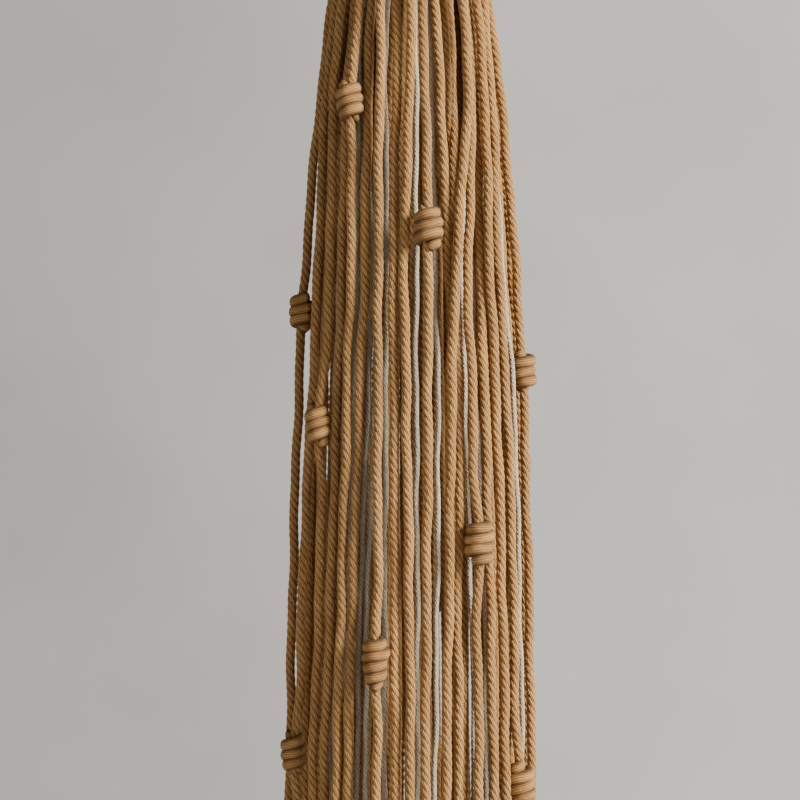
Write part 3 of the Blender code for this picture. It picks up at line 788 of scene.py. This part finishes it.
def make_fringe():
    outer = shell("outer", FRONT_OUTER, 0.0, BACK_OUTER_COUNT, True)
    inner = shell("inner", FRONT_INNER, INNER_INSET, BACK_INNER_COUNT, False)
    pale = shell("white", FRONT_WHITE, WHITE_INSET, BACK_WHITE_COUNT, False)
    brown = [*outer, *inner]
    for number, strand in enumerate(brown):
        line = strand_line(strand, FRINGE_STEP, number)
        node = f"tan_cord_{number // 2 + 1:02d}"
        made = rope(f"tan_strand_{number + 1:02d}", line, body="fringe", node=node, frayed=True)
        if strand["knot"] is not None:
            back = (4.0 + 0.3 * math.sin(number), 3.8, 3.5, 6 * math.sin(1.7 * number), 77 * number)
            shape = FRONT_KNOTS[number] if number < len(FRONT_KNOTS) else back
            tie_knot(f"barrel_knot_{number + 1:02d}", strand, shape)
    for number, strand in enumerate(pale):
        line = strand_line(strand, FRINGE_STEP * 0.75, number + 50)
        node = f"white_cord_{number // 2 + 1}"
        name = f"white_strand_{number + 1:02d}"
        made = rope(name, line, WHITE, WHITE_COTTON, grain=4, body="fringe", node=node, frayed=True)


CORE_COUNT = 36
CORE_TOP = 50.0 * MM  # how far the core cords go up inside the fringe's head
CORE_CLEAR = 5.4 * MM  # between the middles of the outer cords and of the outermost core cords
GOLDEN = 0.618034


def make_core():
    """The cords inside the fringe, which show only between the others.

    They are spaced evenly from left to right and scattered from front to back.
    """
    for number in range(CORE_COUNT):
        across = 2 * (number + 0.5) / CORE_COUNT - 1
        inward = 0.9 * math.sqrt(1 - across**2) * (2 * ((number * GOLDEN) % 1.0) - 1)
        end = FRINGE_LENGTH + LENGTH_SPREAD * math.sin(1.9 * number + 1)
        points = []
        for depth in np.linspace(-CORE_TOP, end, 60):
            radius = OUTER_SHELL + flare(depth) - CORE_CLEAR
            stray = 0.8 * MM * math.sin(depth * 24 + 2.4 * number) * min(max(depth / 0.1, 0.0), 1.0)
            points.append((across * radius + stray, inward * radius, MOUTH_Z - depth))
        line = smooth_path(points, 1.8 * MM)
        rope(f"core_strand_{number + 1:02d}", line, grain=3, body="fringe", frayed=True)


# ---------------------------------------------------------------- hanging ring and the cords on it


def make_ring():
    rounds, sides = 168, 40
    turn = np.linspace(0, 2 * math.pi, rounds, endpoint=False)
    roll = np.linspace(0, 2 * math.pi, sides, endpoint=False)
    out = np.stack([np.sin(turn), np.zeros(rounds), np.cos(turn)], axis=1)
    centre = np.array((0, 0, RING_CENTRE_Z)) + out * RING_MAJOR
    spots = (
        centre[:, None, :]
        + out[:, None, :] * (RING_WIRE * np.cos(roll))[None, :, None]
        + np.array((0.0, 1.0, 0.0)) * (RING_WIRE * np.sin(roll))[None, :, None]
    )
    vertices, faces, _, _ = skin(spots, closed=True)
    mesh = bpy.data.meshes.new("wooden_ring")
    mesh.from_pydata(vertices.tolist(), [], faces)
    piece("wooden_ring", mesh, RING_WOOD, "ring", "hanging_ring")


BAR_Z = RING_CENTRE_Z - RING_MAJOR
RING_GAP = 0.25 * MM
RING_SLACK = 0.45  # how much further out a cord stands, as a share of the bar's rise under it
# Each ring cord's place along the bar, and where it and its other half enter the wrap, in mm
BAR_PLACES = [-15.4, -11.05, -6.6, -2.25, 2.25, 6.6, 11.05, 15.4]
WRAP_PLACES = [(-8.2, 2.1), (-6.2, 5.7), (-4.1, 2.1), (-2.1, 5.8)]
WRAP_PLACES += [(2.1, 5.8), (4.1, 2.1), (6.2, 5.7), (8.2, 2.1)]


def make_ring_cords():
    """Eight cords folded over the ring's lower bar and gathered into the top wrap."""
    top = TOP_WRAP_HIGH[2]
    for number, (bar_x, (x, y)) in enumerate(zip(BAR_PLACES, WRAP_PLACES)):
        bar_x, x, y = bar_x * MM, x * MM, y * MM
        rise = RING_MAJOR - math.sqrt(RING_MAJOR**2 - bar_x**2)
        hug = RING_WIRE + TAN / 2 + RING_GAP + RING_SLACK * rise
        side = [(x, y, top - 14 * MM), (x, y, top - 4 * MM), (x * 1.01, y * 1.02, top + 3 * MM)]
        side.append(((x + bar_x) / 2, (y + hug) / 2 + 0.6 * MM, (top + BAR_Z) / 2))
        side.append((bar_x, hug, BAR_Z + rise - 7 * MM))
        arch = []
        for turn in (0, 30, 60, 90, 120, 150, 180):
            bend = math.radians(turn)
            arch.append((bar_x, -hug * math.cos(bend), BAR_Z + rise + hug * math.sin(bend)))
        path = [*[(a, -b, c) for a, b, c in side], *arch, *reversed(side)]
        line = smooth_path(path, 1.1 * MM)
        rope(f"ring_cord_{number + 1}", line, body="hanger", node=f"ring_loop_{number // 2 + 1}")


CLOSE_PITCH = 4.05 * MM
WRAP_END = 2.0 * MM  # from the end of a wrap's node to the middle of its last turn


def make_wrap(name, node, low, high, radius, body="hanger", belly=0.0, phase=0.0):
    """A close wrap round a vertical bundle, from height low to height high."""
    height = high - low - 2 * WRAP_END
    centre = (0, 0, (low + high) / 2)
    turns = height / CLOSE_PITCH
    kept = {"body": body, "node": node}
    coil(name, centre, (0, 0, 1), (radius, radius), height, turns, phase, core=0.75, belly=belly, **kept)


# ---------------------------------------------------------------- supports

SUPPORT_ANGLES = [45.0, 135.0, 225.0, 315.0]
BUNDLE_ORBIT = 6.3 * MM
RIM_KNOT_ORBIT = 79.5 * MM
RIM_KNOT_Z, RIM_KNOT_HALF = level_and_half("rim_knot_1")
CRADLE_KNOT_ORBIT = 67.0 * MM
CRADLE_KNOT_Z, CRADLE_KNOT_HALF = level_and_half("cradle_knot_1")
HALF_PITCH = 2.06 * MM  # half the distance between cords that lie side by side
SQUARE = [(-1, -1), (-1, 1), (1, -1), (1, 1)]

SINNET_START, SINNET_END = 0.10, 0.77
HALF_KNOT = 4.3 * MM  # height of a half knot
HALF_KNOT_TURN = 24.0  # how much each turns from the one above
WORKER_REACH = (5.0 * MM, 3.95 * MM)
WORKER_SWELL = 0.75 * MM
WORKER_CLOSING = 16.0 * MM  # over how much of its length a working cord comes in to the sinnet
BURIED = 10.0 * MM  # how far a cord goes on inside a knot or wrap
LOOSENING = 14.0 * MM  # from the sinnet's ends to where its filler cords hang free


def spun(offsets, turns):
    """Offsets turned about the line by turns, in radians."""
    x, y = offsets
    return x * np.cos(turns) - y * np.sin(turns), x * np.sin(turns) + y * np.cos(turns)


def make_support(number, angle):
    """Two filler cords, and two worked round them in half knots that spiral, loose above and below."""
    top = around(angle, BUNDLE_ORBIT, TOP_WRAP_LOW[2])
    foot = around(angle, RIM_KNOT_ORBIT, RIM_KNOT_Z + RIM_KNOT_HALF)
    up = np.array((0, 0, BURIED))
    knees = [top + (foot - top) * share for share in (0.03, 0.2, 0.4, 0.6, 0.8, 0.97)]
    centre = smooth_path([top + up, top, *knees, foot, foot - up], 1.0 * MM)
    along = lengths(centre) - BURIED
    tangents = tangents_of(centre)
    sides, outs = level_with(np.tile(tangent(angle), (len(centre), 1)), tangents)
    total = along[-1] - BURIED
    start = SINNET_START * total
    knots = 2 * int((SINNET_END - SINNET_START) * total / HALF_KNOT / 2)
    end = start + knots * HALF_KNOT
    twist = math.radians(HALF_KNOT_TURN)

    def line(at, x, y):
        turn = twist * np.clip(at - start, 0, end - start) / HALF_KNOT
        x, y = spun((x, y), turn)
        shift = pick(sides, along, at) * x[:, None] + pick(outs, along, at) * y[:, None]
        return pick(centre, along, at) + shift

    def loose(at):
        """How far the loose cords bow apart at each place."""
        above, below = np.clip(at / start, 0, 1), np.clip((at - end) / (total - end), 0, 1)
        return 1 + 0.45 * np.sin(math.pi * above) ** 2 + 0.55 * np.sin(math.pi * below) ** 2

    at = np.linspace(-BURIED, total + BURIED, int(total / (1.1 * MM)))
    tight = smooth_step((at - start) / LOOSENING + 1) * smooth_step((end - at) / LOOSENING + 1)
    for side in (-1, 1):
        x = side * HALF_PITCH * loose(at) ** (1 - tight)
        y = -HALF_PITCH * loose(at) * (1 - tight)
        name = f"support_{number}_filler_{(side + 3) // 2}"
        rope(name, spaced(line(at, x, y), 1.2 * MM), body="hanger", node=f"support_{number}")

        above = np.linspace(-BURIED, start, 60)[:-1]
        below = np.linspace(end, total + BURIED, 80)[1:]
        t = np.linspace(0, knots, knots * 24 + 1)
        worked = start + HALF_KNOT * (t + 0.11 * np.sin(2 * math.pi * t))
        reach = WORKER_REACH[0] + WORKER_SWELL * np.sin(2 * math.pi * t)
        y = [HALF_PITCH * loose(above), WORKER_REACH[1] * np.sin(math.pi * t), HALF_PITCH * loose(below)]
        x = [y[0], reach * np.cos(math.pi * t), y[2]]
        x, y = [side * part for part in x], [y[0], side * y[1], y[2]]
        into = smooth_step(1 - (start - above) / WORKER_CLOSING)
        out_of = smooth_step(1 - (below - end) / WORKER_CLOSING)
        x[0] += into * (side * WORKER_REACH[0] - x[0])
        y[0] *= 1 - into
        x[2] += out_of * (side * WORKER_REACH[0] - x[2])
        y[2] *= 1 - out_of
        points = line(np.concatenate([above, worked, below]), np.concatenate(x), np.concatenate(y))
        name = f"support_{number}_worker_{(side + 3) // 2}"
        rope(name, spaced(points, 1.1 * MM), body="hanger", node=f"support_{number}")


# ---------------------------------------------------------------- cradle


ROUND_KNOT_RADII = (5.7 * MM, 5.5 * MM)
ROUND_KNOT_PITCH = 4.15 * MM
ROUND_KNOT_END = 3.9 * MM  # how much shorter than its node the line of a knot's cord is


def make_round_knot(name, angle, orbit, z, half, node, phase):
    """A knot tied with one of its own cords round the rest."""
    coil(
        name,
        around(angle, orbit, z),
        (0, 0, 1),
        ROUND_KNOT_RADII,
        2 * half - ROUND_KNOT_END,
        (2 * half) / ROUND_KNOT_PITCH + 0.3,
        phase=phase,
        tuck=0.7,
        core=0.5,
        belly=1.2 * MM,
        press=(0.92, 1.1),
        opened=True,
        body="hanger",
        node=node,
    )


LEG_OPENING = 0.16  # the share of a pair's length over which it spreads below its knot


def leg_orbit(z):
    """How far from the axis a pair of cords hangs at a height, clear of the pot."""
    share = min(max((z - CRADLE_KNOT_Z) / (RIM_KNOT_Z - CRADLE_KNOT_Z), 0.0), 1.0)
    return 64.5 * MM + 10.0 * MM * share**0.8


LEG_EDGE = 4.4 * MM  # how far a pair's middle is from its knot's axis where it leaves it
LEG_OVERLAP = 0.10  # the share of a pair's length that goes on inside the knot at each end
LEG_SETTLED, LEG_LIFTING = 0.12, 0.85  # between these shares a pair hangs at leg_orbit


def make_cradle_leg(number, start, side):
    """A pair of cords from a rim knot to a cradle knot, one behind the other at its ends."""
    top, foot = RIM_KNOT_Z - RIM_KNOT_HALF, CRADLE_KNOT_Z + CRADLE_KNOT_HALF
    shares = np.linspace(-LEG_OVERLAP, 1 + LEG_OVERLAP, 90)
    for cord in (-1, 1):
        points = []
        for share in shares:
            z = top + (foot - top) * share
            inside = min(max(share, 0.0), 1.0)
            orbit = leg_orbit(z)
            if share < LEG_SETTLED:
                reach = RIM_KNOT_ORBIT - leg_orbit(top) - 2 * MM
                orbit += reach * float(smooth_step((LEG_SETTLED - share) / (LEG_SETTLED + LEG_OVERLAP)))
            if share > LEG_LIFTING:
                reach = CRADLE_KNOT_ORBIT - leg_orbit(foot)
                orbit += reach * float(smooth_step((share - LEG_LIFTING) / (1 + LEG_OVERLAP - LEG_LIFTING)))
            opened = float(smooth_step(inside / LEG_OPENING) * smooth_step((1 - inside) / LEG_OPENING))
            edge = math.degrees((HALF_PITCH + (LEG_EDGE - HALF_PITCH) * opened) / orbit)
            angle = start + side * (edge + (45.0 - 2 * edge) * float(smooth_step(inside)))
            roll = math.pi / 2 * (1 - opened)
            out = around(angle, 1.0, 0.0)
            shift = tangent(angle) * math.cos(roll) + out * math.sin(roll)
            points.append(around(angle, orbit, z) + shift * HALF_PITCH * cord)
        name = f"cradle_leg_{number}_cord_{(cord + 3) // 2}"
        rope(name, smooth_path(points, 1.2 * MM), body="hanger", node=f"cradle_leg_{number}")


# Radius and height, in mm, of the middle of four cords, from a cradle knot to the gathering knot
UNDER_ROUTE = [
    (67.0, -528.0),
    (66.9, -539.0),
    (65.1, -552.0),
    (61.6, -565.0),
    (57.0, -576.6),
    (50.5, -585.5),
    (38.0, -600.0),
    (22.0, -618.0),
    (11.5, -629.5),
    (7.4, -637.5),
    (6.6, -650.0),
]


def make_under_legs(number, angle):
    """Four cords, square in the knots at either end and side by side where they bear on the saucer."""
    centre = smooth_path([around(angle, r * MM, z * MM) for r, z in UNDER_ROUTE], 1.2 * MM)
    sides, outs = level_with(np.tile(tangent(angle), (len(centre), 1)), tangents_of(centre))
    z = centre[:, 2] / MM
    flat = smooth_step((-540 - z) / 26) * smooth_step((z + 634) / 34)
    for cord, (column, row) in enumerate(SQUARE):
        x = HALF_PITCH * ((2 * cord - 3) * flat + column * (1 - flat))
        y = HALF_PITCH * row * (1 - flat)
        points = centre + sides * x[:, None] + outs * y[:, None]
        name = f"under_leg_{number}_cord_{cord + 1}"
        rope(name, spaced(points, 1.2 * MM), body="hanger", node=f"under_leg_{number}")


# ---------------------------------------------------------------- the fringe's head

HEAD_CORDS = 15
HEAD_ROUTE = [(5.2, -648), (5.6, -656), (6.2, -662), (9.2, -666.5), (13.6, -671), (17.0, -677)]
HEAD_ROUTE += [(18.7, -685), (18.4, -690.5), (16.8, -695), (16.4, -703)]
UNDER_HEAD_ROUTE = [(4.0, -668.5), (8.5, -670.0), (13.2, -673.6), (16.8, -678.6), *HEAD_ROUTE[6:]]


def make_head():
    """Cords fanned out over a dome, every second one a little under its neighbours near the pole."""
    for number in range(2 * HEAD_CORDS):
        angle = number * 180.0 / HEAD_CORDS
        route = UNDER_HEAD_ROUTE if number % 2 else HEAD_ROUTE
        line = smooth_path([around(angle, r * MM, z * MM) for r, z in route], 1.1 * MM)
        name = f"head_cord_{number + 1:02d}"
        if number % 2:
            rope(name, line, body="fringe", node="fringe_wrap")
        else:
            made = rope(name, line, node="fringe_wrap")
            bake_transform(made)


# ---------------------------------------------------------------- pot and saucer


def rounded(profile, steps=5):
    """profile holds (radius, z, rounding) in mm. Each corner becomes a short curve of that reach."""
    points = []
    for before, here, after in zip([profile[0], *profile], profile, [*profile[1:], profile[-1]]):
        corner, reach = np.array(here[:2]), here[2]
        if not reach:
            points.append(corner)
            continue
        ends = []
        for other in (before, after):
            way = np.array(other[:2]) - corner
            ends.append(corner + way * min(reach / np.linalg.norm(way), 0.48))
        for t in np.linspace(0, 1, steps):
            points.append(ends[0] * (1 - t) ** 2 + corner * 2 * t * (1 - t) + ends[1] * t * t)
    return np.array(points)


def turned(name, profile, base_z, material, body, node, segments=112):
    outline = rounded(profile) * MM
    turn = np.linspace(0, 2 * math.pi, segments, endpoint=False)
    flat = np.stack([np.cos(turn), np.sin(turn), np.zeros(segments)], axis=1)
    up = np.array((0, 0, 1.0)) * (base_z + outline[:, 1, None, None])
    spots = outline[:, 0, None, None] * flat[None] + up
    vertices, faces, _, _ = skin(spots)
    mesh = bpy.data.meshes.new(name)
    mesh.from_pydata(vertices.tolist(), [], faces)
    return piece(name, mesh, material, body, node)


# Radius, height and rounding of each corner, in mm, from under the foot over the rim to the inside floor
POT_PROFILE = [
    (20, 0.9, 0),
    (40, 0.9, 0.5),
    (42, 0, 0.6),
    (46.8, 0, 1.2),
    (48.4, 2.0, 1.5),
    (55, 47, 0),
    (62.8, 99.0, 1.5),
    (63.4, 101.2, 1.0),
    (67.2, 102.2, 1.4),
    (68, 106, 2.5),
    (68, 122.5, 2.4),
    (65.5, 125, 2.2),
    (63.2, 122.8, 2.0),
    (62.4, 104, 3.0),
    (57.8, 97, 4.0),
    (50.0, 45, 0),
    (44.6, 9.0, 4.0),
    (38.0, 6.2, 4.0),
    (20, 6, 0),
]
SAUCER_PROFILE = [
    (20, 0.6, 0),
    (47, 0.6, 0.5),
    (48.5, 0, 0.6),
    (52.4, 0, 1.2),
    (54.0, 2.0, 1.8),
    (57.8, 12.8, 1.2),
    (56.6, 14.3, 1.0),
    (54.8, 13.2, 1.0),
    (50.8, 5.2, 2.0),
    (47.5, 4.3, 2.0),
    (20, 4.3, 0),
]


# ---------------------------------------------------------------- light and floor


FLOOR_RADIUS = 1.5
FLOOR_Z = -1.45
LIT_POINT = (0.0, 0.0, -0.85)
# Name, place, width, watts and colour
LAMPS = [
    ("key", (2.2, -1.2, 0.0), 1.0, 200.0, (1.0, 0.95, 0.88)),
    ("fill", (-1.6, -1.6, -0.7), 1.6, 5.0, (1.0, 0.96, 0.92)),
]


def make_stage():
    """The floor, the wall's light and the lamps."""
    material, _, shader = new_material("floor")
    shader.inputs["Base Color"].default_value = (0.62, 0.61, 0.59, 1)
    shader.inputs["Roughness"].default_value = 0.85
    mesh = bpy.data.meshes.new("floor")
    turn = np.linspace(0, 2 * math.pi, 96, endpoint=False)
    rim = [(FLOOR_RADIUS * math.cos(a), FLOOR_RADIUS * math.sin(a), FLOOR_Z) for a in turn]
    mesh.from_pydata(rim, [], [list(range(len(rim)))])
    mesh.materials.append(material)
    floor = bpy.data.objects.new("floor", mesh)
    bpy.context.scene.collection.objects.link(floor)
    floor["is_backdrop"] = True

    make_world()
    for name, spot, size, power, colour in LAMPS:
        data = bpy.data.lights.new(name, "AREA")
        data.size = size
        data.energy = power
        data.color = colour
        lamp = bpy.data.objects.new(name, data)
        bpy.context.scene.collection.objects.link(lamp)
        lamp.location = spot
        lamp.rotation_euler = (Vector(LIT_POINT) - Vector(spot)).to_track_quat("-Z", "Y").to_euler()


def make_world():
    """A pale wall seen far off, a little brighter to the right, and a softer light than it looks."""
    world = bpy.data.worlds.new("studio")
    bpy.context.scene.world = world
    world.use_nodes = True
    tree = world.node_tree
    background = tree.nodes["Background"]
    way = tree.nodes.new("ShaderNodeTexCoord").outputs["Generated"]
    cloud = noise_at(tree, way, 7.0, 3.0, 0.6)
    right = put(tree, "ShaderNodeSeparateXYZ", way).outputs[0]
    # Painted light: the wall that the camera sees is painted lighter towards the right, as if lit from that
    # side, while the scene itself is lit by an even 0.31.
    side = between(tree, right, -0.24, 0.20, 0.53, 0.86)
    wall = maths(tree, "MULTIPLY", between(tree, cloud, 0.3, 0.7, 0.95, 1.05), side)
    seen = tree.nodes.new("ShaderNodeLightPath").outputs["Is Camera Ray"]
    level = put(tree, "ShaderNodeMix", seen, None, 0.31, wall).outputs[0]
    background.inputs["Color"].default_value = (1.0, 0.955, 0.885, 1)
    tree.links.new(level, background.inputs["Strength"])


make_fringe()
make_core()
make_ring()
make_ring_cords()
make_wrap("top_wrap_cord", "top_wrap", TOP_WRAP_LOW[2], TOP_WRAP_HIGH[2], 12.8 * MM)
for support, corner in enumerate(SUPPORT_ANGLES, 1):
    make_support(support, corner)
    name, node = f"rim_knot_cord_{support}", f"rim_knot_{support}"
    make_round_knot(name, corner, RIM_KNOT_ORBIT, RIM_KNOT_Z, RIM_KNOT_HALF, node, 90 * support - 30)
    name, node = f"cradle_knot_cord_{support}", f"cradle_knot_{support}"
    phase = 70 * support + 60
    make_round_knot(name, corner + 45, CRADLE_KNOT_ORBIT, CRADLE_KNOT_Z, CRADLE_KNOT_HALF, node, phase)
    make_under_legs(support, corner + 45)
    make_cradle_leg(2 * support - 1, corner, -1)
    make_cradle_leg(2 * support, corner, 1)
low, high = GATHER_LOW[2], GATHER_HIGH[2]
make_wrap("gathering_knot_cord", "gathering_knot", low, high, 10.6 * MM, belly=0.5 * MM, phase=70)
make_wrap("fringe_wrap_cord", "fringe_wrap", MOUTH_Z, SWAY_Z - 1.5 * MM, 20.6 * MM, "fringe", phase=200)
make_head()
turned("stoneware_pot", POT_PROFILE, POT_BASE_Z, GLAZED_CLAY, "pot", "plant_pot")
turned("stoneware_saucer", SAUCER_PROFILE, SAUCER_BASE_Z, GLAZED_CLAY, "saucer", "saucer")
make_stage()

low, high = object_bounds()
